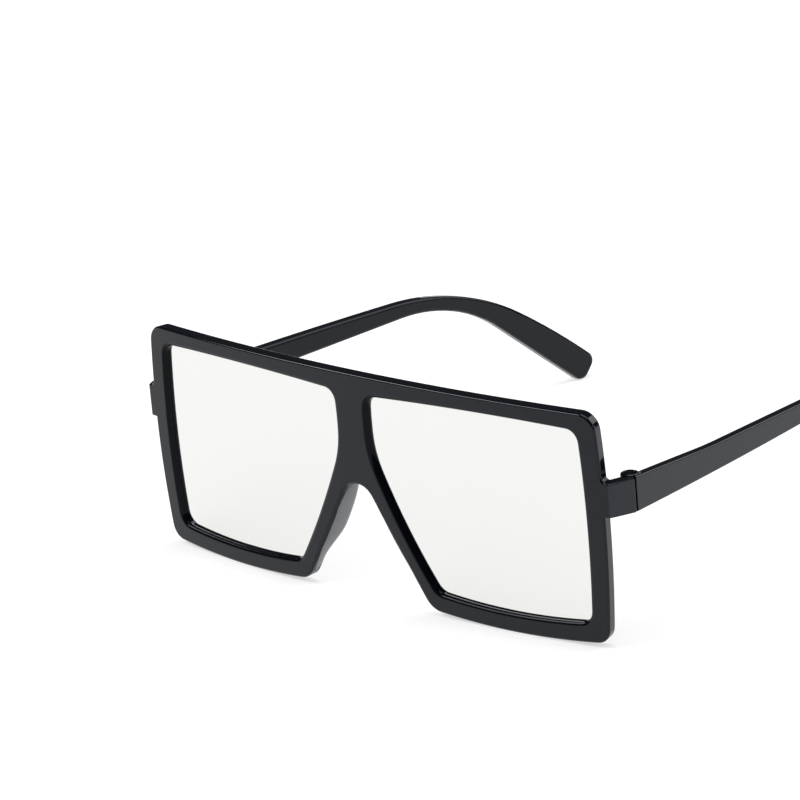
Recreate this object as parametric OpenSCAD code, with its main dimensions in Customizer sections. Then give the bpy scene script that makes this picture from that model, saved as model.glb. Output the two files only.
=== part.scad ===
// Oversized flat-top sunglasses, in millimetres.
// +Z is up, the lenses look along -Y, the temples run back along +Y, and the wearer's left is +X.
// The glasses stand on the bottoms of the two rims and on the two temple tips, at height 0.

/* [Front] */
// Height of the straight brow line above the surface that the glasses stand on
front_h = 55.1; // [48:0.1:64]
// Half of the front's width, at its upper corners
brow_half_w = 69.2; // [62:0.1:78]
// Half of the front's width, at its lower corners
foot_half_w = 68.6; // [62:0.1:78]
// Thickness of the front from its face to its back
rim_depth = 3; // [2.9:0.1:3.8]
// Radius of the wrap, the curve of the face seen from above
face_r = 474; // [300:1:900]
// How far each outer side bulges past a straight line between its corners
side_bow = 1.45; // [0.5:0.05:3]
// How far the rim's bottom bulges below its corners
bottom_bow = 1.3; // [0.5:0.05:3]
// How far the brow line bulges upwards in its middle
brow_bow = 0.2; // [0.1:0.05:2]
// Radius of the upper outer corners
brow_corner_r = 4.4; // [2:0.1:9]
// Radius of the lower outer corners
foot_corner_r = 3.8; // [2:0.1:8]
// Radius of the lower corners beside the nose
nose_corner_r = 5.2; // [2:0.1:9]

/* [Nose] */
// Half of the gap between the lower corners beside the nose
nose_half_w = 19.6; // [16:0.1:24]
// Height at which the straight lines of the two nose legs would meet
nose_apex_h = 33.4; // [29:0.1:38]
// How far each nose leg bulges towards the nose
nose_leg_bow = 0.3; // [0.1:0.05:1.5]
// Radius of the arch over the nose
nose_arch_r = 5; // [3:0.1:8]
// Depth of the small flats under the rims and the tips, on which the glasses rest
foot_flat = 0.06; // [0.02:0.01:0.1]

/* [Lens openings] */
// Distance from the centre plane to the inner upper corner of an opening
open_in_x = 4.3; // [3.5:0.1:8]
// Width of the side bar at an opening's outer upper corner
side_bar_top_w = 4.1; // [3:0.1:8]
// Width of the side bar at an opening's outer lower corner
side_bar_foot_w = 3.5; // [2.6:0.1:7]
// Width of the brow bar at an opening's outer upper corner
brow_bar_w = 3.4; // [2.6:0.1:8]
// Width of the brow bar at an opening's inner upper corner
brow_bar_in_w = 3.85; // [2.6:0.05:8]
// Width of the bar below an opening, at the opening's lower corners
foot_bar_w = 3.6; // [2.6:0.1:7]
// How far above the meeting of the nose legs an opening starts to slant
knee_up = 2.5; // [1:0.1:5]
// Sideways distance between the lower corners of the front and of an opening, beside the nose
leg_bar_w = 1.6; // [1:0.1:6]
// How far the upper side of an opening bulges
open_brow_bow = 0.85; // [0.2:0.05:2]
// How far the outer side of an opening bulges
open_side_bow = 1.1; // [0.2:0.05:2]
// How far the lower side of an opening bulges
open_foot_bow = 1.3; // [0.2:0.05:2]
// How far the slanting side of an opening bulges
open_slant_bow = 0.9; // [0.2:0.05:2]
// How far the upright inner side of an opening bulges
open_bridge_bow = 0.4; // [0.1:0.05:1]
// Radius of the upper corners of an opening
open_brow_r = 4; // [2:0.1:8]
// Radius of the outer lower corner of an opening
open_foot_r = 4; // [2:0.1:8]
// Radius of the inner lower corner of an opening
open_nose_r = 4.6; // [2:0.1:8]
// Radius of the soft corner where an opening starts to slant
open_knee_r = 24; // [10:1:40]
// Width of the step round each opening, in front of the lens
step_w = 0.95; // [0.7:0.05:1.6]
// Depth of that step
step_depth = 0.9; // [0.3:0.05:1.2]

/* [Lenses] */
// Depth of a lens's front surface behind the face
lens_front = 1.8; // [1.5:0.05:1.85]
// Thickness of a lens
lens_t = 0.8; // [0.6:0.05:0.9]
// How far a lens's edge runs into its groove
groove_depth = 0.6; // [0.3:0.05:0.65]
// Room between a lens and its groove
lens_clear = 0.05; // [0.02:0.01:0.1]

/* [Nose pads] */
// Depth behind the face at which a moulded nose pad begins
pad_start = 1.2; // [0.8:0.1:1.6]
// Depth of a pad's back edge behind the face, at the pad's upper end
pad_depth_top = 5.3; // [4.2:0.1:7]
// Depth of a pad's back edge behind the face, at the pad's lower end
pad_depth_low = 3.7; // [3.6:0.1:4.8]
// How far the back edge bulges
pad_back_bow = 0.5; // [0.2:0.05:1]
// How far a pad bulges towards the nose from the straight line of its leg
pad_bow = 2.1; // [1.2:0.05:2.6]
// How far a pad reaches into its leg
pad_in = 1.5; // [1:0.1:2.2]
// Distance along the leg from its lower corner to the pad's lower end
pad_low = 8; // [6:0.5:12]
// Distance along the leg from its upper end to the pad's upper end
pad_high = 6; // [4.5:0.5:9]
// Radius of the pad's back corners
pad_corner_r = 0.9; // [0.4:0.1:1.2]

/* [Lugs and hinges] */
// Height of a lug's underside above the surface
lug_z = 31.6; // [28:0.1:36]
// Height of a lug
lug_h = 7.9; // [7.5:0.1:9]
// How far a lug's front corner stands out past a straight line between the front's outer corners
lug_out = 3.06; // [2.5:0.02:6]
// Distance from the face's foremost line back to the seam between lug and temple
seam_y = 12; // [11:0.1:15]
// Width of the seam between lug and temple
seam_gap = 0.3; // [0.2:0.05:0.4]
// How far the outer face of the temple stands out, at the seam, past the lug's front corner
seam_out = 2.6; // [1.5:0.1:4]
// Thickness of a lug at the seam
lug_t = 3.4; // [3:0.1:4.4]
// Distance from the seam back to the hinge axis
axis_back = 1.4; // [0.8:0.1:1.5]
// Radius of the hinge barrel
barrel_r = 2.15; // [2:0.05:2.2]
// How far the barrel's top knuckle stands above the lug
barrel_proud = 0.4; // [0.4:0.1:1.6]
// Height of the lower knuckle, which belongs to the front
knuckle_low_h = 2.3; // [1.6:0.1:2.6]
// Height of the middle knuckle, which belongs to the temple
knuckle_mid_h = 2.8; // [2:0.1:3]
// Gap between neighbouring knuckles
knuckle_gap = 0.2; // [0.1:0.05:0.3]
// Room round a knuckle for the other part to swing past it
swing_clear = 0.3; // [0.25:0.05:0.4]
// Radius of the hinge screw's shank
screw_r = 0.7; // [0.5:0.05:0.9]
// Running clearance between the screw and its bore, on the radius
screw_clear = 0.05; // [0.02:0.01:0.08]
// Radius of the hinge screw's head
screw_head_r = 1.3; // [1.1:0.05:1.5]
// Height of the hinge screw's head
screw_head_h = 0.9; // [0.6:0.05:1.2]
// How far the head lies below the barrel's top
screw_sunk = 0.15; // [0.05:0.05:0.3]
// Width of the driver slot in the head
screw_slot_w = 0.35; // [0.2:0.05:0.5]
// Depth of the driver slot
screw_slot_d = 0.4; // [0.2:0.05:0.5]
// Distance from the lug's underside to the screw's lower end
screw_end_in = 0.3; // [0.1:0.05:0.6]

/* [Temples] */
// Thickness of a temple
temple_t = 2.8; // [2.6:0.1:3.2]
// Height of a temple where it meets its lug
temple_h = 8.2; // [7.2:0.1:8.2]
// How far a temple's underside lies above its lug's underside
temple_up = 0.05; // [0:0.05:0.3]
// How far the upper edge rises towards the hinge, above its line from further back
flare_up = 0.95; // [0.3:0.05:1.2]
// Length of that rise
flare_l = 28; // [20:1:40]
// Radius of the soft hollow where the rise begins
flare_r = 150; // [80:10:300]
// Slope of the underside ahead of the bend, in degrees
under_slope = 0.7; // [0.2:0.1:1.5]
// How far the underside bulges there
under_bow = 0.3; // [0.1:0.05:0.5]
// Slope of the temple's outer face at the seam, in degrees towards the head
temple_toe = 2.6; // [0:0.1:6]
// Radius of the temple's gentle inward curve, seen from above
temple_curve_r = 2020; // [1200:10:4000]
// Distance from the face's foremost line to the middle of the tip's lower corner
tip_y = 147.9; // [130:0.1:160]
// Radius of the tip's corners
tip_r = 2.6; // [1.5:0.1:3.4]
// Height of the temple at its tip
tip_h = 7.5; // [5.5:0.1:10]
// Slope of the underside behind the ear, in degrees
bend_angle = 39.7; // [30:0.1:48]
// How much less the upper edge slopes there than the underside, in degrees
bend_flare = 5; // [1:0.1:7]
// Slope of the upper edge ahead of the bend, in degrees
top_slope = 1.8; // [0.5:0.1:3]
// Radius of the upper edge over the ear
bend_top_r = 79; // [50:1:110]
// Radius of the underside over the ear
bend_under_r = 50; // [30:1:80]
// How far the long edges of a temple bulge
temple_bow = 0.15; // [0.05:0.05:0.5]
// How far the upper edge behind the ear bulges
tip_bow = 1.5; // [0.5:0.1:2.2]
// Radius of the temple's corners at the seam
seam_corner_r = 0.5; // [0.2:0.1:1]

/* [Hidden] */

// facets of small round shapes, and of the two wide curves
$fn = 64;
WIDE_FACETS = 720;
CURVE_FACETS = 2400;
// points on each corner, and stretches on each side, of an outline
CORNER_STEPS = 8;
SIDE_STEPS = 7;
// half of a whole turn, in degrees
HALF_TURN = 180;
// how far a cutting shape runs past what it cuts
overrun = 1;
// bows of the nearly straight sides of a temple and a pad, and a pad's small corners
end_bow_share = 0.1;
low_bow_share = 0.33;
pad_corner_share = 0.25;

FRAME_COLOR = [0.17, 0.175, 0.19];
LENS_COLOR = [0.9, 0.91, 0.92];
SCREW_COLOR = [0.75, 0.76, 0.78];

// Outlines with bowed sides and rounded corners.
// A side is an arc through two corners that bulges to the left of its direction,
// so a loop that runs clockwise bulges outwards. A negative radius rounds a hollow corner.

function unit(v) = v / norm(v);
function angle_of(v) = atan2(v.y, v.x);
function turned_left(v) = [-v.y, v.x];
function side_r(a, b, bow) = (pow(norm(b - a), 2) / 4 + bow * bow) / (2 * bow);
function side_centre(a, b, bow) = (a + b) / 2 - turned_left(unit(b - a)) * (side_r(a, b, bow) - bow);

// The point at given distances from two centres, on the side where near lies
function meeting(c1, r1, c2, r2, near) =
    let (gap = norm(c2 - c1),
         along = (r1 * r1 - r2 * r2 + gap * gap) / (2 * gap),
         across = sqrt(r1 * r1 - along * along),
         base = c1 + unit(c2 - c1) * along,
         way = turned_left(unit(c2 - c1)) * across)
    norm(base + way - near) < norm(base - way - near) ? base + way : base - way;

// The shorter way round from angle a to angle b
function turn(a, b) =
    let (d = b - a) d > HALF_TURN ? d - 2 * HALF_TURN : d < -HALF_TURN ? d + 2 * HALF_TURN : d;
function arc_points(c, r, from, to, steps, first, last) =
    [for (i = [first : last]) let (a = from + turn(from, to) * i / steps) c + r * [cos(a), sin(a)]];

// Points of a loop with these corners, side bows and corner radii, drawn in by inset on all sides
function loop(corners, bows, radii, inset = 0) =
    let (n = len(corners),
         centres = [for (k = [0 : n - 1]) side_centre(corners[k], corners[(k + 1) % n], bows[k])],
         sizes = [for (k = [0 : n - 1]) side_r(corners[k], corners[(k + 1) % n], bows[k])],
         rounds = [for (k = [0 : n - 1]) let (p = (k + n - 1) % n)
             meeting(centres[p], sizes[p] - radii[k], centres[k], sizes[k] - radii[k], corners[k])])
    [for (k = [0 : n - 1]) let (p = (k + n - 1) % n, q = (k + 1) % n)
        each concat(
            arc_points(rounds[k], radii[k] - inset, angle_of(rounds[k] - centres[p]),
                       angle_of(rounds[k] - centres[k]), CORNER_STEPS, 0, CORNER_STEPS),
            arc_points(centres[k], sizes[k] - inset, angle_of(rounds[k] - centres[k]),
                       angle_of(rounds[q] - centres[k]), SIDE_STEPS, 1, SIDE_STEPS - 1))];

function mirrored(v) = [-v.x, v.y];

// Outline of the front, seen from the front
brow_corner = [brow_half_w, front_h];
foot_z = bottom_bow - foot_flat;
foot_corner = [foot_half_w, foot_z];
nose_corner = [nose_half_w, foot_z];
nose_apex = [0, nose_apex_h];
function front_outline() = loop(
    [mirrored(brow_corner), brow_corner, foot_corner, nose_corner, nose_apex,
     mirrored(nose_corner), mirrored(foot_corner)],
    [brow_bow, side_bow, bottom_bow, nose_leg_bow, nose_leg_bow, bottom_bow, side_bow],
    [brow_corner_r, brow_corner_r, foot_corner_r, nose_corner_r, -nose_arch_r,
     nose_corner_r, foot_corner_r]);

// Outline of the left opening, drawn in by inset
open_foot = foot_z + foot_bar_w;
function opening(inset) = loop(
    [[open_in_x, front_h - brow_bar_in_w], [brow_half_w - side_bar_top_w, front_h - brow_bar_w],
     [foot_half_w - side_bar_foot_w, open_foot], [nose_half_w + leg_bar_w, open_foot],
     [open_in_x, nose_apex_h + knee_up]],
    [open_brow_bow, open_side_bow, open_foot_bow, open_slant_bow, open_bridge_bow],
    [open_brow_r, open_brow_r, open_foot_r, open_nose_r, open_knee_r], inset);

// The wrap of the face
function face_y(x) = face_r - sqrt(face_r * face_r - x * x);

// Lug and hinge places, for the left side
lug_share = (lug_z - foot_z) / (front_h - foot_z);
lug_root_x = foot_half_w + (brow_half_w - foot_half_w) * lug_share;
lug_x = lug_root_x + lug_out;
seam_x = lug_x + seam_out;
lug_top = lug_z + lug_h;
wrap_room = face_y(lug_x) + rim_depth + overrun;
axis_x = seam_x - temple_t - seam_gap / 2;
mid_low = lug_z + knuckle_low_h + knuckle_gap;
mid_top = mid_low + knuckle_mid_h;
up_low = mid_top + knuckle_gap;
barrel_top = lug_top + barrel_proud;
screw_top = barrel_top - screw_sunk;
bore_r = screw_r + screw_clear;
swing_r = barrel_r + swing_clear;

// The side view of a temple, as [y, z] points
tip_under = [tip_y, tip_r - foot_flat] - tip_r * [sin(bend_angle), cos(bend_angle)];
tip_low = tip_under + tip_r * [cos(bend_angle), -sin(bend_angle)];
tip_high = tip_low + tip_h * [sin(bend_angle), cos(bend_angle)];
temple_front = seam_y + seam_gap / 2;
lug_back = seam_y - seam_gap / 2;
top_angle = bend_angle - bend_flare;
temple_z = lug_z + temple_up;
temple_top = temple_z + temple_h;
line_top = temple_top - flare_up;
flare_y = temple_front + flare_l;
flare_z = line_top - tan(top_slope) * flare_l;
bend_low_y = (tip_under.y + tan(bend_angle) * tip_under.x - temple_z
              + tan(under_slope) * temple_front) / (tan(bend_angle) + tan(under_slope));
bend_low_z = temple_z + tan(under_slope) * (bend_low_y - temple_front);
bend_high_y = (tip_high.y + tan(top_angle) * tip_high.x - line_top
               - tan(top_slope) * temple_front) / (tan(top_angle) - tan(top_slope));
bend_high_z = line_top - tan(top_slope) * (bend_high_y - temple_front);
temple_side = loop(
    [[temple_front, temple_top], [flare_y, flare_z], [bend_high_y, bend_high_z], tip_high,
     tip_low, [bend_low_y, bend_low_z], [temple_front, temple_z]],
    [temple_bow * low_bow_share, temple_bow, tip_bow, temple_bow, temple_bow * low_bow_share,
     under_bow, temple_bow * end_bow_share],
    [seam_corner_r, -flare_r, bend_top_r, tip_r, tip_r, -bend_under_r, seam_corner_r]);
depth = max([for (p = temple_side) p.x]);
curve_centre = [seam_x, temple_front] - temple_curve_r * [cos(temple_toe), sin(temple_toe)];

// Outline of the left nose pad seen from the front, and of its depth seen from the side
leg_l = norm(nose_apex - nose_corner);
leg_way = unit(nose_apex - nose_corner);
leg_in = -turned_left(leg_way);
pad_a = nose_corner + leg_way * pad_low;
pad_b = nose_apex - leg_way * pad_high;
pad_side_bow = pad_in * end_bow_share;
pad_small_r = pad_in * pad_corner_share;
pad_front_view = loop([pad_a, pad_b, pad_b + leg_in * pad_in, pad_a + leg_in * pad_in],
    [pad_bow, pad_side_bow, pad_side_bow, pad_side_bow],
    [pad_small_r, pad_small_r, pad_small_r, pad_small_r]);
pad_top_z = nose_apex_h;
pad_foot_z = pad_a.y - pad_in;
pad_side_view = loop([[pad_start, pad_foot_z], [pad_start, pad_top_z], [pad_depth_top, pad_b.y],
                      [pad_depth_low, pad_foot_z]],
    [pad_side_bow, pad_side_bow, pad_back_bow, pad_side_bow],
    [pad_small_r, pad_small_r, pad_corner_r, pad_small_r]);

module placed() {
    translate([0, -depth / 2, 0]) children();
}

// All that lies between two depths behind the face, above the resting surface
module between(front, back) {
    translate([0, face_r, 0]) difference() {
        cylinder(h = front_h + overrun, r = face_r - front, $fn = WIDE_FACETS);
        translate([0, 0, -overrun])
            cylinder(h = front_h + 3 * overrun, r = face_r - back, $fn = WIDE_FACETS);
    }
}

// An outline of the front view, between two depths
module curved_plate(points, front, back) {
    intersection() {
        translate([0, wrap_room, 0]) rotate([90, 0, 0])
            linear_extrude(wrap_room + overrun) polygon(points);
        between(front, back);
    }
}

module lens_cuts() {
    curved_plate(opening(0), -overrun, step_depth);
    curved_plate(opening(step_w), -overrun, rim_depth + overrun);
    curved_plate(opening(step_w - groove_depth), lens_front - lens_clear,
                 lens_front + lens_t + lens_clear);
}

module nose_pad() {
    intersection() {
        translate([0, wrap_room, 0]) rotate([90, 0, 0])
            linear_extrude(wrap_room) polygon(pad_front_view);
        rotate([90, 0, 90]) linear_extrude(nose_half_w) polygon(pad_side_view);
    }
}

module lug() {
    intersection() {
        translate([0, 0, lug_z]) linear_extrude(lug_h) polygon([
            [lug_root_x, 0], [lug_x, 0], [lug_x, face_y(lug_x)], [seam_x, lug_back],
            [seam_x - lug_t, lug_back],
            [lug_root_x + side_bow, face_y(lug_root_x) + rim_depth],
            [lug_root_x, face_y(lug_root_x) + rim_depth]]);
        translate([0, face_r, 0]) cylinder(h = front_h, r = face_r, $fn = WIDE_FACETS);
    }
}

module at_axis(z) {
    translate([axis_x, seam_y + axis_back, z]) children();
}

module front_knuckles() {
    at_axis(lug_z) cylinder(h = knuckle_low_h, r = barrel_r);
    at_axis(up_low) cylinder(h = barrel_top - up_low, r = barrel_r);
}

module hinge_cuts() {
    // room for the temple's knuckle
    at_axis(mid_low - knuckle_gap) cylinder(h = knuckle_mid_h + 2 * knuckle_gap, r = swing_r);
    // bore of the screw, and the seat of its head
    at_axis(lug_z - overrun) cylinder(h = lug_h + 2 * overrun, r = bore_r);
    at_axis(screw_top - screw_head_h)
        cylinder(h = screw_head_h + screw_sunk + overrun, r = screw_head_r + screw_clear);
}

module both_sides() {
    children();
    mirror([1, 0, 0]) children();
}

module front_frame() color(FRAME_COLOR) placed() difference() {
    union() {
        curved_plate(front_outline(), 0, rim_depth);
        both_sides() nose_pad();
        both_sides() lug();
        both_sides() front_knuckles();
    }
    both_sides() lens_cuts();
    both_sides() hinge_cuts();
}

module lens() color(LENS_COLOR) placed()
    curved_plate(opening(step_w - groove_depth + lens_clear), lens_front, lens_front + lens_t);

module hinge_screw() color(SCREW_COLOR) placed() difference() {
    union() {
        at_axis(lug_z + screw_end_in)
            cylinder(h = screw_top - lug_z - screw_end_in - screw_slot_d, r = screw_r);
        at_axis(screw_top - screw_head_h) cylinder(h = screw_head_h, r = screw_head_r);
    }
    at_axis(screw_top - screw_slot_d)
        translate([-screw_head_r - overrun, -screw_slot_w / 2, 0])
            cube([2 * (screw_head_r + overrun), screw_slot_w, screw_slot_d + overrun]);
}

module temple_band() {
    translate([curve_centre.x, curve_centre.y, 0]) difference() {
        cylinder(h = lug_top + overrun, r = temple_curve_r, $fn = CURVE_FACETS);
        translate([0, 0, -overrun])
            cylinder(h = lug_top + 3 * overrun, r = temple_curve_r - temple_t, $fn = CURVE_FACETS);
    }
}

module temple() color(FRAME_COLOR) placed() difference() {
    union() {
        difference() {
            intersection() {
                rotate([90, 0, 90]) linear_extrude(seam_x + overrun) polygon(temple_side);
                temple_band();
            }
            // room for the two knuckles of the front
            at_axis(lug_z - overrun) cylinder(h = mid_low - lug_z + overrun, r = swing_r);
            at_axis(mid_top) cylinder(h = barrel_top - mid_top + overrun, r = swing_r);
        }
        at_axis(mid_low) cylinder(h = knuckle_mid_h, r = barrel_r);
    }
    at_axis(mid_low - overrun) cylinder(h = knuckle_mid_h + 2 * overrun, r = bore_r);
}

module left_lens() lens();
module right_lens() mirror([1, 0, 0]) lens();
module left_hinge_screw() hinge_screw();
module right_hinge_screw() mirror([1, 0, 0]) hinge_screw();
module left_temple() temple();
module right_temple() mirror([1, 0, 0]) temple();

front_frame();
left_lens();
right_lens();
left_hinge_screw();
right_hinge_screw();
left_temple();
right_temple();
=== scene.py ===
import math

import bmesh
import bpy
import numpy as np
from mathutils import Matrix, Vector, bvhtree, kdtree


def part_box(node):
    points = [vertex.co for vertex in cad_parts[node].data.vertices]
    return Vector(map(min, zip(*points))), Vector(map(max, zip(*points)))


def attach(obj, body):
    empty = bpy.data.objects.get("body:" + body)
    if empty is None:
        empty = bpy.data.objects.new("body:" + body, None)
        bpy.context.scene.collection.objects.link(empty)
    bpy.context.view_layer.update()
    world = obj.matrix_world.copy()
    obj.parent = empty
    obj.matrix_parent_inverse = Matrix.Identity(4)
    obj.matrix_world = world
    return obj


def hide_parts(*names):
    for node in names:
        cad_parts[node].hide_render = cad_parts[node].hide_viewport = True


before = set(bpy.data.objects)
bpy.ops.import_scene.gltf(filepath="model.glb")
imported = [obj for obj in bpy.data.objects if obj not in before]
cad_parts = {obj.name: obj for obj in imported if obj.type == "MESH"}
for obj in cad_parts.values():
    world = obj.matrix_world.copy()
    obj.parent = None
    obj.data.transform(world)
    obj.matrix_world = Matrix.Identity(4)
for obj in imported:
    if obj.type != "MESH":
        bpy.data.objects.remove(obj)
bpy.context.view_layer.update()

# Sizes in millimetres. Flat shapes have x across, y back from the face and z up

# The front: the radius of its wrap, its place, its depth and its corners as x and z
FACE_R = 474.0
FACE_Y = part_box("front_frame")[0].y * 1000.0
RIM = 3.4
FOOT_Z = 1.24
BROW, FOOT, NOSE, APEX = (69.2, 55.1), (68.6, FOOT_Z), (19.6, FOOT_Z), (0.0, 33.4)
FACE_ROUND, BACK_ROUND = 0.55, 0.6
# The rims' sides draw in by this much for each millimetre of depth
SIDE_TAPER = 0.28
LENS_FRONT, LENS_BACK = 1.45, 2.25
# The lugs, and the seam between lug and temple
LUG_Z, LUG_TOP, LUG_X, SEAM_X, SEAM_Y, LUG_T = 31.6, 39.5, 72.0, 74.6, 12.0, 3.4
SEAM_HALF = 0.15
# The hinges: axis, heights of the knuckles from below, radii, and the screw's head
AXIS_X, AXIS_Y = 71.65, 13.4
LOW_TOP, MID_LOW, MID_TOP, UP_LOW, BARREL_TOP = 33.9, 34.1, 36.9, 37.1, 39.95
BARREL_R, SWING_R, BORE_R, SEAT_R = 2.15, 2.45, 0.75, 1.35
SCREW_TOP = BARREL_TOP - 0.15
SEAT = SCREW_TOP - 0.9
HEAD_R, SHANK_R = 1.3, 0.7
# The temples: thickness, and the bend and turn of their run seen from above
TEMPLE_T, TEMPLE_CURVE_R = 2.8, 2020.0
TOE = math.radians(2.6)


# Drawing outlines
def left_of(v):
    return Vector((-v.y, v.x))


def angle_of(v):
    return math.atan2(v.y, v.x)


def side_arc(a, b, bow):
    """Centre and radius of an arc from a to b that bulges to the left by bow."""
    r = ((b - a).length_squared / 4 + bow * bow) / (2 * bow)
    return (a + b) / 2 - left_of((b - a).normalized()) * (r - bow), r


def meeting(c1, r1, c2, r2, near):
    """The point at these distances from two centres, on the side where near lies."""
    gap = (c2 - c1).length
    along = (r1 * r1 - r2 * r2 + gap * gap) / (2 * gap)
    base = c1 + (c2 - c1) / gap * along
    way = left_of(c2 - c1) / gap * math.sqrt(max(r1 * r1 - along * along, 0))
    return min(base + way, base - way, key=lambda p: (p - near).length)


def draw(bm, corners, bows, radii, inset, corner_steps=10, side_steps=24):
    """Draws a closed outline clockwise, arc by arc, drawn in by inset, and fills it with one face.
    A side bulges outwards by its bow. A negative radius rounds a hollow corner."""
    corners = [Vector(c) for c in corners]
    n = len(corners)
    sides = [side_arc(corners[k], corners[(k + 1) % n], bows[k]) for k in range(n)]
    rounds = [meeting(sides[k - 1][0], sides[k - 1][1] - radii[k],
                      sides[k][0], sides[k][1] - radii[k], corners[k]) for k in range(n)]
    start = angle_of(rounds[0] - sides[-1][0])
    reach = radii[0] - inset
    first = pen = bm.verts.new((rounds[0].x + reach * math.cos(start), 0,
                                rounds[0].y + reach * math.sin(start)))
    for k in range(n):
        middle = sides[k][0]
        angles = (angle_of(rounds[k] - sides[k - 1][0]), angle_of(rounds[k] - middle),
                  angle_of(rounds[(k + 1) % n] - middle))
        for centre, a, b, steps in ((rounds[k], angles[0], angles[1], corner_steps),
                                    (middle, angles[1], angles[2], side_steps)):
            turn = (b - a + math.pi) % (2 * math.pi) - math.pi
            got = bmesh.ops.spin(bm, geom=[pen], cent=(centre.x, 0, centre.y), axis=(0, -1, 0),
                                 angle=turn, steps=steps)
            pen = next(g for g in got["geom_last"] if isinstance(g, bmesh.types.BMVert))
    bmesh.ops.pointmerge(bm, verts=[first, pen], merge_co=first.co)
    face = bmesh.ops.contextual_create(bm, geom=bm.edges[:])["faces"][0]
    if face.normal.y > 0:
        face.normal_flip()
    return face


def rounding(r, steps=5):
    """Insets and depths of an edge rounded by r, from the face to the side."""
    turns = [math.pi / 2 * i / steps for i in range(steps + 1)]
    return [(r * (1 - math.sin(a)), r * (1 - math.cos(a))) for a in turns]


def rounded_plate(thickness, front_r, back_r, back_steps=6):
    """The profile of a plate with rounded edges, from its face to its back."""
    back = [(i, thickness - d) for i, d in reversed(rounding(back_r, back_steps))]
    return rounding(front_r) + back


def plate(outline, profile):
    """A flat closed plate. Its face is drawn, then pushed back and drawn in through the profile's
    pairs of inset and depth."""
    bm = bmesh.new()
    face = outline(bm, profile[0][0])
    bmesh.ops.translate(bm, verts=bm.verts[:], vec=(0, profile[0][1], 0))
    for (i, d), (j, e) in zip(profile, profile[1:]):
        bmesh.ops.inset_region(bm, faces=[face], use_boundary=True, use_even_offset=True,
                               thickness=j - i, depth=d - e)
    bmesh.ops.holes_fill(bm, edges=[e for e in bm.edges if e.is_boundary], sides=0)
    bmesh.ops.recalc_face_normals(bm, faces=bm.faces[:])
    return bm


def turned(profile, steps=64):
    """A profile of radii and heights, turned round the hinge axis."""
    bm = bmesh.new()
    verts = [bm.verts.new((AXIS_X + r, AXIS_Y, z)) for r, z in profile]
    edges = [bm.edges.new(pair) for pair in zip(verts, verts[1:] + verts[:1])]
    bmesh.ops.spin(bm, geom=verts + edges, cent=(AXIS_X, AXIS_Y, 0), axis=(0, 0, 1),
                   angle=2 * math.pi, steps=steps, use_merge=True)
    bmesh.ops.remove_doubles(bm, verts=bm.verts[:], dist=0.001)
    bmesh.ops.delete(bm, geom=[e for e in bm.edges if e.is_wire], context="EDGES")
    bmesh.ops.recalc_face_normals(bm, faces=bm.faces[:])
    return bm


def softened(bm, edges, width, segments=3):
    """Bevels edges by a small width."""
    bmesh.ops.bevel(bm, geom=edges, offset=width, offset_type="OFFSET", segments=segments,
                    profile=0.5, affect="EDGES", clamp_overlap=True, material=-1)


def cut_off(bm, at, way, keep_above=True):
    """Cuts a closed shape at a plane, closes the cut and gives its rim. Above is where way
    points."""
    got = bmesh.ops.bisect_plane(bm, geom=bm.verts[:] + bm.edges[:] + bm.faces[:], dist=1e-4,
                                 plane_co=at, plane_no=way, clear_inner=keep_above,
                                 clear_outer=not keep_above)
    rim = [g for g in got["geom_cut"] if isinstance(g, bmesh.types.BMEdge)]
    bmesh.ops.holes_fill(bm, edges=rim, sides=0)
    return rim


# Joining, cutting and finishing
def as_object(name, bm):
    """Makes an object of a bmesh and frees the bmesh."""
    me = bpy.data.meshes.new(name)
    bm.to_mesh(me)
    bm.free()
    ob = bpy.data.objects.new(name, me)
    bpy.context.scene.collection.objects.link(ob)
    return ob


def bake(ob):
    """Puts what an object's modifiers give in place of its mesh."""
    graph = bpy.context.evaluated_depsgraph_get()
    me = bpy.data.meshes.new_from_object(ob.evaluated_get(graph))
    ob.modifiers.clear()
    old = ob.data
    ob.data = me
    bpy.data.meshes.remove(old)


def ordered(ob):
    """Puts points and faces in a fixed order, since a boolean's order varies between runs."""
    me = ob.data
    co = np.zeros(len(me.vertices) * 3, np.float32)
    me.vertices.foreach_get("co", co)
    co = co.reshape(-1, 3)
    order = np.lexsort((co[:, 2], co[:, 1], co[:, 0]))
    place = np.argsort(order)
    faces = []
    for p in me.polygons:
        ring = [int(place[i]) for i in p.vertices]
        first = ring.index(min(ring))
        faces.append(ring[first:] + ring[:first])
    ob.data = bpy.data.meshes.new(me.name)
    ob.data.from_pydata([tuple(v) for v in co[order]], [], sorted(faces))
    bpy.data.meshes.remove(me)


def combined(ob, bm, how):
    """Adds a closed shape to an object, or takes it away."""
    tool = as_object("tool", bm)
    mod = ob.modifiers.new("combine", "BOOLEAN")
    mod.operation = how
    mod.solver = "EXACT"
    mod.object = tool
    bake(ob)
    ordered(ob)
    bpy.data.objects.remove(tool)


def mirrored(bm, way=(-1, 1, 1)):
    """Mirrors a bmesh and keeps its faces outward."""
    bmesh.ops.scale(bm, verts=bm.verts[:], vec=way)
    bmesh.ops.reverse_faces(bm, faces=bm.faces[:])
    return bm


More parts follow.
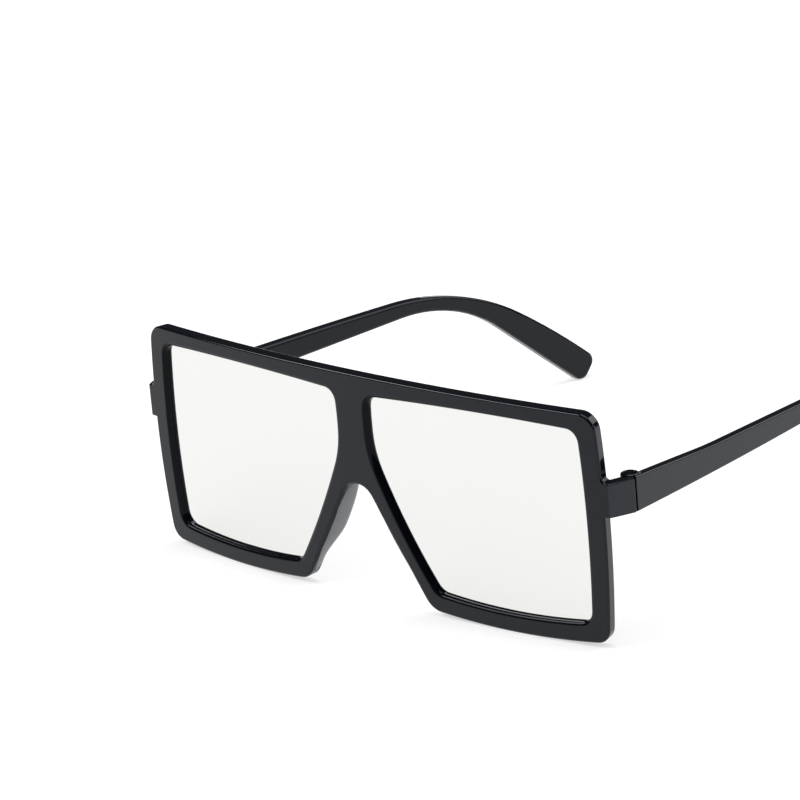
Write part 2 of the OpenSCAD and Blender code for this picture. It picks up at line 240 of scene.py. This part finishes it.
def sliced(ob, axis, start, end, step):
    """Cleans a flat mesh and cuts it across into strips, so that it can bend. Merging close
    points can lose a face of many sides, so such faces are made triangles before it."""
    near = 0.002
    bm = bmesh.new()
    bm.from_mesh(ob.data)
    bmesh.ops.triangulate(bm, faces=[f for f in bm.faces if len(f.verts) > 4])
    bmesh.ops.remove_doubles(bm, verts=bm.verts[:], dist=near)
    bmesh.ops.dissolve_degenerate(bm, edges=bm.edges[:], dist=near)
    normal = Vector((0, 0, 0))
    normal[axis] = 1
    for value in np.arange(start, end, step):
        bmesh.ops.bisect_plane(bm, geom=bm.verts[:] + bm.edges[:] + bm.faces[:], dist=1e-4,
                               plane_co=normal * float(value), plane_no=normal)
    bmesh.ops.dissolve_degenerate(bm, edges=bm.edges[:], dist=near)
    bm.to_mesh(ob.data)
    bm.free()


def smooth_normals(ob, angle=38):
    """Smooth shading that keeps wide faces flat and hard corners sharp."""
    ob.data.shade_smooth()
    ob.data.set_sharp_from_angle(angle=math.radians(angle))
    mod = ob.modifiers.new("normals", "WEIGHTED_NORMAL")
    mod.mode = "FACE_AREA"
    mod.weight = 80
    mod.keep_sharp = True
    bake(ob)


def bent(ob, place):
    """Bends a flat mesh to its place, in metres, and its shading normals with it. place takes
    the points, the points that the normals stand on and the normals, and gives both bent."""
    me = ob.data
    co = np.zeros(len(me.vertices) * 3)
    me.vertices.foreach_get("co", co)
    co = co.reshape(-1, 3)
    index = np.array([l.vertex_index for l in me.loops])
    normals = np.array([tuple(n.vector) for n in me.corner_normals])
    points, ways = place(co, co[index], normals)
    me.vertices.foreach_set("co", (points / 1000.0).ravel())
    me.update()
    ways = ways / np.linalg.norm(ways, axis=1)[:, None]
    me.normals_split_custom_set([tuple(v) for v in ways])


# The wrap of the front. Its lower part leans back a little
LEAN_Z, LEAN_R = 38.0, 860.0


def wrapped(co, at, normals):
    """Bends the flat front round the face, and leans its lower part back."""
    r = FACE_R - co[:, 1]
    under = np.minimum(co[:, 2] - LEAN_Z, 0)
    y = FACE_R - np.sqrt(r * r - co[:, 0] ** 2) + under ** 2 / (2 * LEAN_R)
    sin = at[:, 0] / (FACE_R - at[:, 1])
    cos = np.sqrt(1 - sin * sin)
    lean = np.minimum(at[:, 2] - LEAN_Z, 0) / LEAN_R
    ways = np.c_[normals[:, 0] - sin * normals[:, 1], cos * normals[:, 1],
                 normals[:, 2] - lean * cos * normals[:, 1]]
    return np.c_[co[:, 0], y + FACE_Y, co[:, 2]], ways


def unwrapped(bm):
    """Moves a shape that was drawn in its real place to where the flat front has it."""
    for v in bm.verts:
        lean = min(v.co.z - LEAN_Z, 0) ** 2 / (2 * LEAN_R)
        v.co.y = FACE_R - math.hypot(v.co.x, FACE_R - v.co.y + lean)
    return bm


def flat_depth(x, y):
    """How far back the flat front has a place that is y behind the face in truth."""
    return FACE_R - math.hypot(x, FACE_R - y)


# The front: rims and bridge
def front_outline(bm, inset):
    corners = [(-BROW[0], BROW[1]), BROW, FOOT, NOSE, APEX,
               (-NOSE[0], NOSE[1]), (-FOOT[0], FOOT[1])]
    bows = [0.2, 1.45, 1.3, 0.3, 0.3, 1.3, 1.45]
    radii = [4.4, 4.4, 3.8, 5.2, -5.0, 5.2, 3.8]
    return draw(bm, corners, bows, radii, inset)


def opening(bm, inset):
    inner, outer, low = 4.3, 65.1, FOOT_Z + 3.6
    corners = [(inner, 51.25), (outer, 51.7), (outer, low), (21.2, low), (inner, 35.9)]
    return draw(bm, corners, [0.85, 1.1, 1.3, 0.9, 0.4], [4.0, 4.0, 4.0, 4.6, 24.0], inset)


def opening_plug():
    """What is taken away for a lens opening: its wall curves from the face to the lens."""
    start, run, deep, steps = -0.2, 1.2, 1.3, 12
    turns = [math.pi / 2 * i / steps for i in range(steps + 1)]
    wall = [(start + run * math.sin(a), deep * (1 - math.cos(a))) for a in turns]
    end = start + run
    return plate(opening, [(start, -1.0)] + wall + [(end, RIM - 0.3), (end - 0.1, RIM - 0.09),
                                                    (end - 0.3, RIM), (end - 0.3, RIM + 1)])


def lens_groove():
    inset, play = 0.35, 0.05
    return plate(opening, [(inset, LENS_FRONT - play), (inset, LENS_BACK + play)])


def softer_nose_edge(bm):
    """Rounds the face's edge more along the nose legs and the arch."""
    ring = bmesh.new()
    front_outline(ring, 0)
    line = np.array([(v.co.x, v.co.z) for v in ring.verts])
    ring.free()
    reach, fade, depth, edge, brow_z, more = 18.5, 5.0, 0.6, 0.7, 40, 0.8
    for v in bm.verts:
        share = min(max((reach - abs(v.co.x)) / fade, 0), 1)
        if v.co.y > depth or share == 0 or v.co.z > brow_z:
            continue
        away = line - (v.co.x, v.co.z)
        nearest = away[np.argmin((away ** 2).sum(axis=1))]
        if np.hypot(*nearest) < edge:
            share = share * share * (3 - 2 * share)
            v.co.x -= float(nearest[0]) * share * more
            v.co.z -= float(nearest[1]) * share * more
            v.co.y *= 1 + share * more


# The lugs
def lug():
    """A lug, drawn from above and pushed down from its top, with softened edges."""
    end = SEAM_Y - SEAM_HALF
    inner = (SEAM_X - LUG_T, flat_depth(SEAM_X - LUG_T, end))
    outer = (SEAM_X, flat_depth(SEAM_X, end))

    def plan(bm, inset):
        corners = [(67.6, 0.0), (67.6, 2.2), (69.8, 2.9), inner, outer, (LUG_X, 0.0)]
        return draw(bm, corners, [0.002, 0.01, 0.01, 0.002, 0.1, 0.002],
                    [0.35, 0.35, -1.2, 0.35, 0.35, 0.45], inset, corner_steps=6, side_steps=4)
    edge_r = 0.28
    bm = plate(plan, rounded_plate(LUG_TOP - LUG_Z, edge_r, edge_r, 4))
    # It was drawn lying down, and stands up here
    bmesh.ops.transform(bm, verts=bm.verts[:], matrix=Matrix(
        ((1, 0, 0, 0), (0, 0, 1, 0), (0, -1, 0, LUG_TOP), (0, 0, 0, 1))))
    for v in bm.verts:
        if abs(v.co.y) < 0.01:
            v.co.y = 0
    return bm


def lug_root():
    """The hollow curve between a rim's side and the top of its lug. It tapers as the rim does."""
    end = 71.7

    def seen_from_front(bm, inset):
        low, high = 38.0, 43.0
        inner, outer, top = 66.5, end + 1.5, LUG_TOP - 0.01
        corners = [(inner, high), (70.0, high), (70.22, top),
                   (outer, top), (outer, low), (inner, low)]
        return draw(bm, corners, [0.01, 0.01, 0.002, 0.01, 0.01, 0.01],
                    [0.6, 0.6, -1.5, 0.6, 0.6, 0.6], inset, corner_steps=8, side_steps=4)
    bm = plate(seen_from_front, rounding(FACE_ROUND, 5) + [(0.0, 2.6)])
    cut_off(bm, (end, 0, 0), (1, 0, 0), keep_above=False)
    for v in bm.verts:
        share = min(max((end - 0.2 - v.co.x) / 1.3, 0), 1)
        v.co.x -= SIDE_TAPER * max(v.co.y - 0.5, 0) * share
    return bm


# The hinge barrels, screw seats and bores
def barrel(low, high, low_r=0.12, high_r=0.12):
    """A knuckle, with its edges rounded by low_r and high_r."""
    under = [(BARREL_R - i, low + d) for i, d in rounding(low_r, 3)]
    above = [(BARREL_R - i, high - d) for i, d in reversed(rounding(high_r, 5))]
    return turned([(0, low)] + under + above + [(0, high)])


def rod(radius, low, high):
    return turned([(0, low), (radius, low), (radius, high), (0, high)])


def seat_room():
    """What is taken away above a screw's seat."""
    lip = SEAT_R + 0.1
    return turned([(0, SEAT), (SEAT_R, SEAT), (SEAT_R, BARREL_TOP - 0.1), (lip, BARREL_TOP),
                   (lip, BARREL_TOP + 1), (0, BARREL_TOP + 1)])


# The nose pads, moulded on the legs
def nose_pad():
    """A ball, drawn out along the leg of the nose, boxy in length and depth, round across."""
    start, end, front = 2.5, 32.4, 0.5
    a, b = Vector(NOSE), Vector(APEX)
    way = (b - a).normalized()
    out = left_of(way)
    bm = bmesh.new()
    bmesh.ops.create_uvsphere(bm, u_segments=64, v_segments=48, radius=1.0)
    for v in bm.verts:
        along, depth, across = v.co.z, v.co.x, v.co.y
        along = math.copysign(abs(along) ** 0.85, along)
        depth = math.copysign(abs(depth) ** 0.8, depth)
        s = (start + end) / 2 + along * (end - start) / 2
        rise = min(max((s - 6.0) / 12.0, 0), 1)
        rise = rise * rise * (3 - 2 * rise)
        back = 3.1 + 2.4 * rise
        d = (front + back) / 2 + depth * (back - front) / 2
        lean = 0.3 + 0.7 * (d - front) / (back - front)
        lift = across * (0.35 + 1.15 * rise) * lean if across > 0 else across * 1.6
        edge = 0.3 * (1 - ((2 * s - (b - a).length) / (b - a).length) ** 2)
        p = a + way * s + out * (edge + lift)
        v.co = (p.x, d, p.y)
    bmesh.ops.recalc_face_normals(bm, faces=bm.faces[:])
    return bm


def both_sides(ob, shape, how="UNION"):
    """Adds or takes away a shape on the left, and its mirror image on the right."""
    combined(ob, shape(), how)
    combined(ob, mirrored(shape()), how)


def tapered_sides(bm):
    """Draws the outer sides in towards the back."""
    start_x, fade, edge = 62, 5, 0.5
    for v in bm.verts:
        share = min(max((abs(v.co.x) - start_x) / fade, 0), 1)
        back = max(v.co.y - edge, 0)
        v.co.x -= math.copysign(SIDE_TAPER * back * share * share * (3 - 2 * share), v.co.x)


bm = plate(front_outline, rounded_plate(RIM, FACE_ROUND, BACK_ROUND))
softer_nose_edge(bm)
tapered_sides(bm)
front = as_object("front", bm)
both_sides(front, nose_pad)
both_sides(front, opening_plug, "DIFFERENCE")
both_sides(front, lens_groove, "DIFFERENCE")
both_sides(front, lug)
both_sides(front, lug_root)
both_sides(front, lambda: unwrapped(rod(SWING_R, LOW_TOP, UP_LOW)), "DIFFERENCE")
both_sides(front, lambda: unwrapped(barrel(LUG_Z, LOW_TOP, low_r=0.3)))
both_sides(front, lambda: unwrapped(barrel(UP_LOW, BARREL_TOP, high_r=0.45)))
both_sides(front, lambda: unwrapped(rod(BORE_R, LUG_Z - 1, BARREL_TOP + 1)), "DIFFERENCE")
both_sides(front, lambda: unwrapped(seat_room()), "DIFFERENCE")
for v in front.data.vertices:
    v.co.z = max(v.co.z, 0)
sliced(front, 0, -72.0, 72.1, 3.0)
smooth_normals(front)

# Which faces are opening walls, nose pads and lugs, for their materials
WALL_MIDDLE, WALL_HALF = 0.4, 0.75
ring = bmesh.new()
opening(ring, WALL_MIDDLE)
bmesh.ops.subdivide_edges(ring, edges=ring.edges[:], cuts=7)
opening_line = kdtree.KDTree(len(ring.verts))
for v in ring.verts:
    opening_line.insert((v.co.x, 0, v.co.z), v.index)
opening_line.balance()
ring.free()
pad = nose_pad()
pad_skin = bvhtree.BVHTree.FromBMesh(pad)
pad.free()
for p in front.data.polygons:
    x, y, z = p.center
    # Pad faces take a grey colour: painted reflection, the grey that a polished black pad shows at
    # a grazing angle
    if y > 0.6 and abs(x) < 22 and z < 33 and pad_skin.find_nearest((abs(x), y, z))[3] < 0.03:
        p.material_index = 1
    apart = opening_line.find((abs(x), 0, z))[2]
    # Opening walls take a darker, less glossy copy of the front's black: painted shade in the lens
    # openings
    if 0.05 < y < RIM - 0.3 and apart < WALL_HALF:
        p.material_index = 2
    # Lug and knuckle faces take the temples' lighter, glossier black: painted light from the side
    if abs(x) > LUG_X - 0.1:
        p.material_index = 3
bent(front, wrapped)


# The lenses
def lens(name, side):
    inset, rim_inset, bevel = 0.5, 0.42, 0.08
    edge = [(inset, LENS_FRONT), (rim_inset, LENS_FRONT + bevel),
            (rim_inset, LENS_BACK - bevel), (inset, LENS_BACK)]
    bm = plate(opening, edge)
    if side < 0:
        mirrored(bm)
    ob = as_object(name, bm)
    sliced(ob, 0, -66.0, 66.1, 3.0)
    smooth_normals(ob, 60)
    for p in ob.data.polygons:
        p.material_index = 0 if p.normal.y < -0.2 else 1
    bent(ob, wrapped)
    return ob


left_lens, right_lens = lens("lens_left", 1), lens("lens_right", -1)

# The temples, drawn in side view, with y along x, and the outer face in front
TEMPLE_Y = SEAM_Y + SEAM_HALF
CURVE_X = SEAM_X - TEMPLE_CURVE_R * math.cos(TOE)
CURVE_Y = TEMPLE_Y - TEMPLE_CURVE_R * math.sin(TOE)


def temple_outline(bm, inset):
    """Drawn a little longer than the temple at its hinge end, where it is cut off."""
    extra = 4.0
    low, high, flare_up, flare_l = LUG_Z + 0.05, LUG_Z + 8.25, 0.95, 28.0
    bend, steep, top_slope, under_slope = (
        math.tan(math.radians(d)) for d in (39.7, 34.7, 1.8, 0.7))
    tip_r, tip_h = 2.6, 7.5
    sin, cos = math.sin(math.atan(bend)), math.cos(math.atan(bend))
    under = Vector((147.9 - tip_r * sin, tip_r - 0.06 - tip_r * cos))
    tip_low = under + tip_r * Vector((cos, -sin))
    tip_high = tip_low + tip_h * Vector((sin, cos))
    line = high - flare_up
    flare = Vector((TEMPLE_Y + flare_l, line - top_slope * flare_l))
    low_y = (under.y + bend * under.x - low + under_slope * TEMPLE_Y) / (bend + under_slope)
    high_y = (tip_high.y + steep * tip_high.x - line - top_slope * TEMPLE_Y) / (steep - top_slope)
    top = Vector((TEMPLE_Y, high))
    top += (top - flare) / flare_l * extra
    corners = [top, flare, (high_y, line - top_slope * (high_y - TEMPLE_Y)), tip_high, tip_low,
               (low_y, low + under_slope * (low_y - TEMPLE_Y)),
               (TEMPLE_Y - extra, low - under_slope * extra)]
    return draw(bm, corners, [0.06, 0.15, 1.5, 0.15, 0.05, 0.3, 0.01],
                [1.4, -150.0, 79.0, tip_r, tip_r, -50.0, 1.4], inset, 14, 26)


def outer_x(y):
    """Where the temple's outer face is at this y."""
    return CURVE_X + np.sqrt(TEMPLE_CURVE_R ** 2 - (y - CURVE_Y) ** 2)


def laid_flat(bm):
    """Moves a shape drawn in its real place to where the flat temple has it."""
    for v in bm.verts:
        v.co = (v.co.y, float(outer_x(v.co.y)) - v.co.x, v.co.z)
    return bm


def temple(name, side):
    def along_temple(co, at, normals):
        slope = (at[:, 0] - CURVE_Y) / TEMPLE_CURVE_R
        slope = side * slope / np.sqrt(1 - slope ** 2)
        points = np.c_[side * outer_x(co[:, 0]) - co[:, 1], co[:, 0] + FACE_Y, co[:, 2]]
        return points, np.c_[-normals[:, 1], normals[:, 0] - slope * normals[:, 1], normals[:, 2]]

    bm = plate(temple_outline, rounded_plate(TEMPLE_T, 0.45, 0.95))
    softened(bm, cut_off(bm, (TEMPLE_Y, 0, 0), (1, 0, 0)), 0.14)
    ob = as_object(name, bm)
    combined(ob, laid_flat(rod(SWING_R, LUG_Z - 1, MID_LOW)), "DIFFERENCE")
    combined(ob, laid_flat(rod(SWING_R, MID_TOP, BARREL_TOP + 1)), "DIFFERENCE")
    combined(ob, laid_flat(barrel(MID_LOW, MID_TOP)), "UNION")
    combined(ob, laid_flat(rod(BORE_R, MID_LOW - 1, MID_TOP + 1)), "DIFFERENCE")
    for v in ob.data.vertices:
        v.co.z = max(v.co.z, 0)
    if side < 0:
        bm = bmesh.new()
        bm.from_mesh(ob.data)
        mirrored(bm, (1, -1, 1)).to_mesh(ob.data)
        bm.free()
    sliced(ob, 0, 15.0, 150.0, 3.0)
    smooth_normals(ob)
    # Inner faces take the plainer black, all other faces the lighter, glossier copy: painted light
    # from the side
    for p in ob.data.polygons:
        p.material_index = 0 if p.normal.y * side < 0.5 else 1
    bent(ob, along_temple)
    return ob


left_temple, right_temple = temple("temple_left", 1), temple("temple_right", -1)


# The hinge screws
def upright(co, at, normals):
    return co + [0, FACE_Y, 0], normals


def screw(name, side):
    head = [(HEAD_R - i, SCREW_TOP - d) for i, d in reversed(rounding(0.16, 3))]
    end, point = LUG_Z + 0.3, 0.2
    shank = [(0, end), (SHANK_R - point, end), (SHANK_R, end + point), (SHANK_R, SEAT)]
    ob = as_object(name, turned(shank + [(HEAD_R, SEAT)] + head + [(0, SCREW_TOP)]))
    bm = bmesh.new()
    bmesh.ops.create_cube(bm, size=1.0, matrix=Matrix.Translation((AXIS_X, AXIS_Y, SCREW_TOP))
                          @ Matrix.Rotation(0.6, 4, "Z") @ Matrix.Diagonal((4.0, 0.35, 0.8, 1.0)))
    combined(ob, bm, "DIFFERENCE")
    if side < 0:
        bm = bmesh.new()
        bm.from_mesh(ob.data)
        mirrored(bm).to_mesh(ob.data)
        bm.free()
    smooth_normals(ob)
    bent(ob, upright)
    return ob


left_screw, right_screw = screw("screw_left", 1), screw("screw_right", -1)


# Materials
def material(name):
    """A new material, with its node tree and shader."""
    m = bpy.data.materials.new(name)
    m.use_nodes = True
    tree = m.node_tree
    return m, tree, tree.nodes["Principled BSDF"]


def noise(tree, scale, detail=3.0, stretch=(1, 1, 1)):
    coords = tree.nodes.new("ShaderNodeTexCoord")
    mapping = tree.nodes.new("ShaderNodeMapping")
    mapping.inputs["Scale"].default_value = stretch
    tex = tree.nodes.new("ShaderNodeTexNoise")
    tex.inputs["Scale"].default_value = scale
    tex.inputs["Detail"].default_value = detail
    tree.links.new(coords.outputs["Object"], mapping.inputs["Vector"])
    tree.links.new(mapping.outputs["Vector"], tex.inputs["Vector"])
    return tex


def ramp(tree, source, low, high, start=0.35, end=0.65):
    """Spreads a noise's middle values from low to high."""
    r = tree.nodes.new("ShaderNodeMapRange")
    r.inputs["From Min"].default_value = start
    r.inputs["From Max"].default_value = end
    r.inputs["To Min"].default_value = low
    r.inputs["To Max"].default_value = high
    tree.links.new(source, r.inputs["Value"])
    return r.outputs["Result"]


def tinted(tree, source, dark, light):
    """A colour between dark and light, by a value."""
    mix = tree.nodes.new("ShaderNodeMix")
    mix.data_type = "RGBA"
    mix.inputs["A"].default_value = (*dark, 1)
    mix.inputs["B"].default_value = (*light, 1)
    tree.links.new(source, mix.inputs["Factor"])
    return mix.outputs["Result"]


def bumped(tree, shader, height, strength, distance):
    bump = tree.nodes.new("ShaderNodeBump")
    bump.inputs["Strength"].default_value = strength
    bump.inputs["Distance"].default_value = distance
    tree.links.new(height, bump.inputs["Height"])
    tree.links.new(bump.outputs["Normal"], shader.inputs["Normal"])


def black_plastic(name, dark, light, ior, rough):
    """Polished injection-moulded plastic: a faint unevenness of tone, gloss and surface."""
    m, tree, shader = material(name)
    cloud = noise(tree, 90.0, 3.0)
    paint = tinted(tree, cloud.outputs["Fac"], dark, light)
    tree.links.new(paint, shader.inputs["Base Color"])
    hair = noise(tree, 700.0, 2.0, (1, 0.25, 1))
    gloss = ramp(tree, hair.outputs["Fac"], rough - 0.02, rough + 0.03)
    tree.links.new(gloss, shader.inputs["Roughness"])
    shader.inputs["IOR"].default_value = ior
    shader.inputs["Specular Tint"].default_value = (0.86, 0.92, 1.0, 1.0)
    bumped(tree, shader, cloud.outputs["Fac"], 0.06, 0.0004)
    return m


def lens_face(name, haze_scale, haze_detail, dark, light, rough_low, rough_high, metallic):
    """A polished lens face with a faint haze."""
    m, tree, shader = material(name)
    haze = noise(tree, haze_scale, haze_detail)
    tree.links.new(tinted(tree, haze.outputs["Fac"], dark, light), shader.inputs["Base Color"])
    gloss = ramp(tree, noise(tree, 160.0, 4.0).outputs["Fac"], rough_low, rough_high)
    tree.links.new(gloss, shader.inputs["Roughness"])
    shader.inputs["Metallic"].default_value = metallic
    return m


front_black = black_plastic("front_black", (0.003, 0.0036, 0.0055), (0.005, 0.0058, 0.0085),
                            1.385, 0.06)
# Painted shade: the opening walls' copy of the front's black, darker and less glossy than the face
opening_shade_black = black_plastic("opening_shade_black", (0.0025, 0.003, 0.0045), (0.004, 0.0048, 0.007),
                              1.22, 0.12)
# Painted reflection: the pads' grey colour stands in for what their polished black surface
# reflects at a grazing angle
pad_reflection_grey = black_plastic("pad_reflection_grey", (0.38, 0.38, 0.39), (0.44, 0.44, 0.45), 1.6, 0.2)
# Painted light: the temples' outer, top and bottom faces and the lugs get a lighter, glossier
# black than the front and the temples' inner faces
temple_lit_black = black_plastic("temple_lit_black", (0.0045, 0.005, 0.007), (0.007, 0.0075, 0.01),
                             1.52, 0.07)
temple_inner = black_plastic("temple_inner", (0.0045, 0.005, 0.007), (0.006, 0.0065, 0.009),
                             1.34, 0.09)
silver = lens_face("silver_mirror", 22.0, 4.0, (0.862, 0.868, 0.852), (0.872, 0.876, 0.862),
                   0.045, 0.075, 1.0)
smoke = lens_face("lens_back", 30.0, 3.0, (0.03, 0.032, 0.034), (0.04, 0.042, 0.045),
                  0.05, 0.09, 0.0)

steel, tree, shader = material("turned_steel")
lines = noise(tree, 2500.0, 3.0, (1, 1, 0.2)).outputs["Fac"]
tree.links.new(tinted(tree, lines, (0.05, 0.05, 0.055), (0.08, 0.08, 0.085)),
               shader.inputs["Base Color"])
tree.links.new(ramp(tree, lines, 0.2, 0.36), shader.inputs["Roughness"])
shader.inputs["Metallic"].default_value = 1.0
bumped(tree, shader, lines, 0.2, 0.00002)

FRONT_LOOKS = [front_black, pad_reflection_grey, opening_shade_black, temple_lit_black]
TEMPLE_LOOKS = [temple_lit_black, temple_inner]
LENS_LOOKS = [silver, smoke]
for ob, mats, body, node, slot in (
        (front, FRONT_LOOKS, "front", "front_frame", "front_plastic"),
        (left_lens, LENS_LOOKS, "front", "left_lens", "mirror_lens"),
        (right_lens, LENS_LOOKS, "front", "right_lens", "mirror_lens"),
        (left_screw, [steel], "front", "left_hinge_screw", "hinge_steel"),
        (right_screw, [steel], "front", "right_hinge_screw", "hinge_steel"),
        (left_temple, TEMPLE_LOOKS, "left_arm", "left_temple", "temple_plastic"),
        (right_temple, TEMPLE_LOOKS, "right_arm", "right_temple", "temple_plastic")):
    for m in mats:
        ob.data.materials.append(m)
    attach(ob, body)
    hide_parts(node)


# Helpers for what the camera and mirrors see
def reckoned(tree, operation, *values):
    """A Math node's result. Each value is a socket or a number."""
    node = tree.nodes.new("ShaderNodeMath")
    node.operation = operation
    for value, socket in zip(values, node.inputs):
        if isinstance(value, bpy.types.NodeSocket):
            tree.links.new(value, socket)
        else:
            socket.default_value = value
    return node.outputs[0]


def shown_directly(tree, path):
    """1 for the camera, for mirrors and for glass, else 0."""
    plain = reckoned(tree, "MAXIMUM", path.outputs["Is Camera Ray"], path.outputs["Is Glossy Ray"])
    return reckoned(tree, "MAXIMUM", plain, path.outputs["Is Transmission Ray"])


# Floor. It glows white for the camera and for mirrors, and shadows show on its own colour
bm = bmesh.new()
bmesh.ops.create_grid(bm, x_segments=8, y_segments=8, size=3.0)
floor = as_object("floor", bm)
floor.location.z = -0.00005
white, tree, shader = material("white_floor")
cloud = noise(tree, 3.0, 2.0).outputs["Fac"]
reflected = tinted(tree, cloud, (0.2, 0.2, 0.2), (0.22, 0.22, 0.22))
direct = tinted(tree, cloud, (0.49, 0.49, 0.49), (0.51, 0.51, 0.51))
path = tree.nodes.new("ShaderNodeLightPath")
own = tree.nodes.new("ShaderNodeMix")
own.data_type = "RGBA"
tree.links.new(path.outputs["Is Camera Ray"], own.inputs["Factor"])
tree.links.new(reflected, own.inputs["A"])
tree.links.new(direct, own.inputs["B"])
tree.links.new(own.outputs["Result"], shader.inputs["Base Color"])
glow = reckoned(tree, "MULTIPLY", shown_directly(tree, path), 0.78)
glow = reckoned(tree, "MULTIPLY_ADD", path.outputs["Is Camera Ray"], -0.23, glow)
tree.links.new(glow, shader.inputs["Emission Strength"])
shader.inputs["Emission Color"].default_value = (1, 1, 1, 1)
shader.inputs["Roughness"].default_value = 0.9
shader.inputs["Specular IOR Level"].default_value = 0.0
floor.data.materials.append(white)

# World: a white room up to the height of a backdrop, and a dim ceiling
world = bpy.data.worlds.new("studio")
bpy.context.scene.world = world
world.use_nodes = True
tree = world.node_tree
tree.nodes.clear()
out = tree.nodes.new("ShaderNodeOutputWorld")
path = tree.nodes.new("ShaderNodeLightPath")
even = tree.nodes.new("ShaderNodeBackground")
even.inputs["Color"].default_value = (1, 1, 1, 1)
even.inputs["Strength"].default_value = 0.45
shown = tree.nodes.new("ShaderNodeBackground")
shown.inputs["Color"].default_value = (1, 1, 1, 1)
coords = tree.nodes.new("ShaderNodeTexCoord")
split = tree.nodes.new("ShaderNodeSeparateXYZ")
tree.links.new(coords.outputs["Generated"], split.inputs[0])
height = ramp(tree, split.outputs["Z"], 1.0, 0.03, 0.02, 0.09)
tree.links.new(height, shown.inputs["Strength"])
mix = tree.nodes.new("ShaderNodeMixShader")
tree.links.new(shown_directly(tree, path), mix.inputs["Fac"])
tree.links.new(even.outputs[0], mix.inputs[1])
tree.links.new(shown.outputs[0], mix.inputs[2])
tree.links.new(mix.outputs[0], out.inputs["Surface"])


def lamp(name, place, aim, size, watts):
    light = bpy.data.lights.new(name, "AREA")
    light.shape = "RECTANGLE"
    light.size, light.size_y = size
    light.energy = watts
    ob = bpy.data.objects.new(name, light)
    bpy.context.scene.collection.objects.link(ob)
    ob.location = place
    ob.rotation_euler = (Vector(aim) - Vector(place)).to_track_quat("-Z", "Y").to_euler()


AIM = (0, 0, 0.03)
lamp("top_soft", (0.1, 0.1, 1.3), (0, 0, 0), (0.8, 0.8), 7.0)
lamp("left_soft", (-0.62, -0.6, 0.78), AIM, (0.8, 0.3), 6.5)
lamp("side_soft", (1.5, 0.35, 0.6), AIM, (0.7, 0.5), 2.5)
lamp("back_soft", (0.38, 0.8, 0.76), AIM, (0.9, 0.9), 5.0)

# Camera, from the fit to the photograph
az, el, roll = (math.radians(v) for v in (44.355, 18.334, -5.059))
back = Vector((math.sin(az) * math.cos(el), -math.cos(az) * math.cos(el), math.sin(el)))
right = Vector((math.cos(az), math.sin(az), 0))
up = back.cross(right)
right_r = right * math.cos(roll) + up * math.sin(roll)
up_r = up * math.cos(roll) - right * math.sin(roll)
data = bpy.data.cameras.new("camera")
data.lens = 213.85
data.sensor_width = 36.0
data.clip_start = 0.05
camera = bpy.data.objects.new("camera", data)
bpy.context.scene.collection.objects.link(camera)
camera.matrix_world = Matrix.Translation((0.7252, -0.7249 + FACE_Y / 1000.0, 0.3876)) @ Matrix(
    (right_r, up_r, back)).transposed().to_4x4()
bpy.context.scene.camera = camera
bpy.context.scene.view_settings.view_transform = "Standard"
